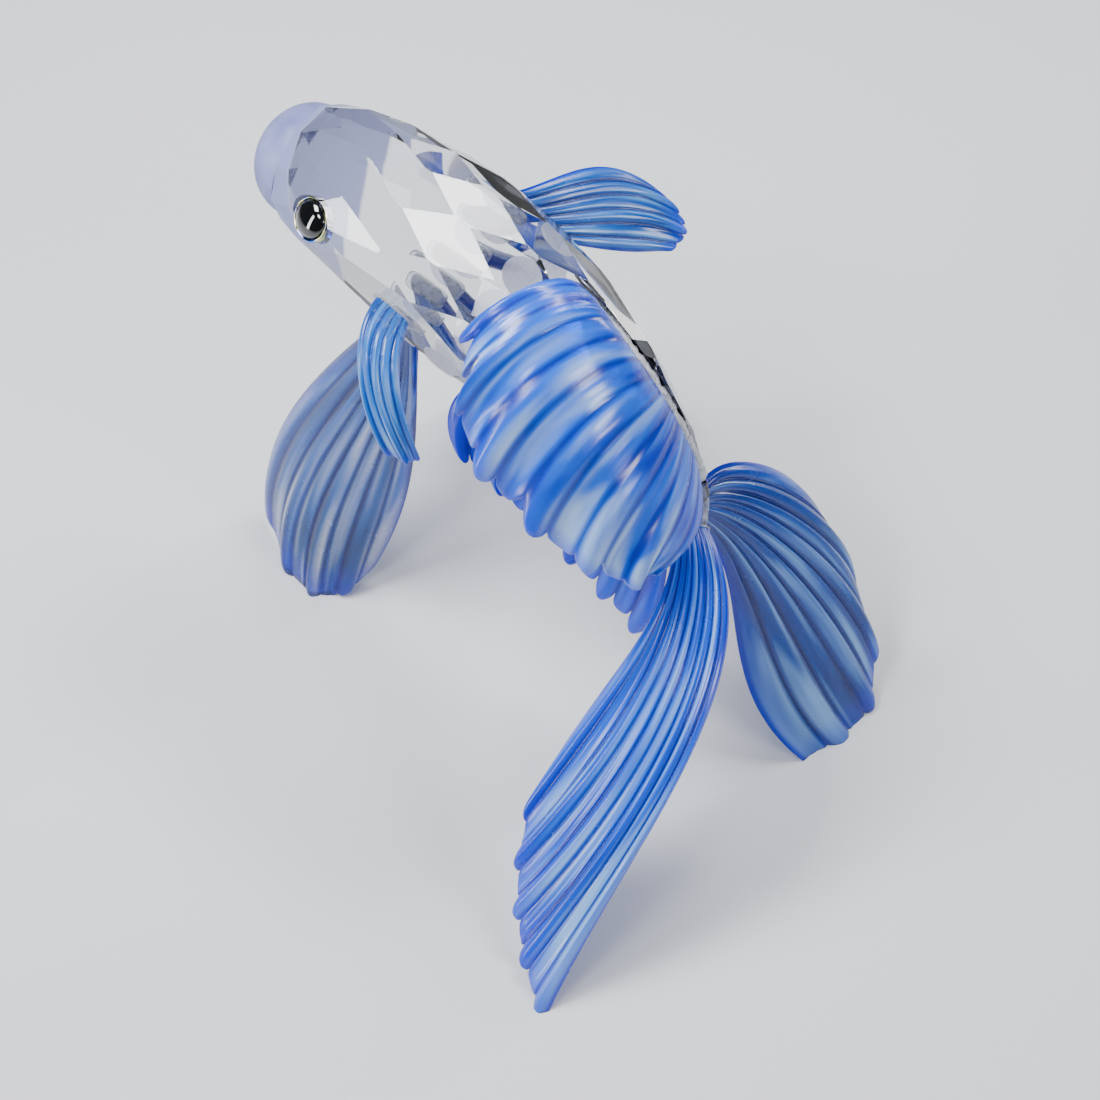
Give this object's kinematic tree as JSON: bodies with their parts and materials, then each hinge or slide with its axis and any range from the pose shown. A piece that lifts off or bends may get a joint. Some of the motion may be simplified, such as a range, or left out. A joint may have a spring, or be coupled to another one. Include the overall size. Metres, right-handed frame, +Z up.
{
  "type": "crystal fish figurine",
  "caption": "Free-standing cut-crystal fighting fish with faceted clear body, frosted mouth, cabochon eyes and ribbed translucent blue fins, resting on its fin tips.",
  "frame": {"origin": "middle of the footprint, in the plane the fin tips stand on", "axes": "+Z up, the fish swims towards -X, its left flank faces -Y"},
  "size_m": [0.0931, 0.0892, 0.0777],
  "materials": {
    "clear_crystal": "cut and polished",
    "satin_crystal": "acid-etched satin",
    "blue_glass": "pressed, fire-polished",
    "foil_ring": "iridescent vacuum coating",
    "black_glass": "polished",
    "clear_adhesive": "cured clear"
  },
  "bodies": {
    "root": {"anal_fin": "blue_glass", "anal_fin_bond": "clear_adhesive", "crystal_body": "clear_crystal", "dorsal_fin": "blue_glass", "dorsal_fin_bond": "clear_adhesive", "frosted_mouth": "satin_crystal", "left_eye_cabochon": "black_glass", "left_eye_ring": "foil_ring", "left_pectoral_fin": "blue_glass", "left_pectoral_fin_bond": "clear_adhesive", "left_pelvic_fin": "blue_glass", "left_pelvic_fin_bond": "clear_adhesive", "left_tail_lobe": "blue_glass", "left_tail_lobe_bond": "clear_adhesive", "mouth_bond": "clear_adhesive", "right_eye_cabochon": "black_glass", "right_eye_ring": "foil_ring", "right_pectoral_fin": "blue_glass", "right_pectoral_fin_bond": "clear_adhesive", "right_pelvic_fin": "blue_glass", "right_pelvic_fin_bond": "clear_adhesive", "right_tail_lobe": "blue_glass", "right_tail_lobe_bond": "clear_adhesive"}
  },
  "joints": []
}
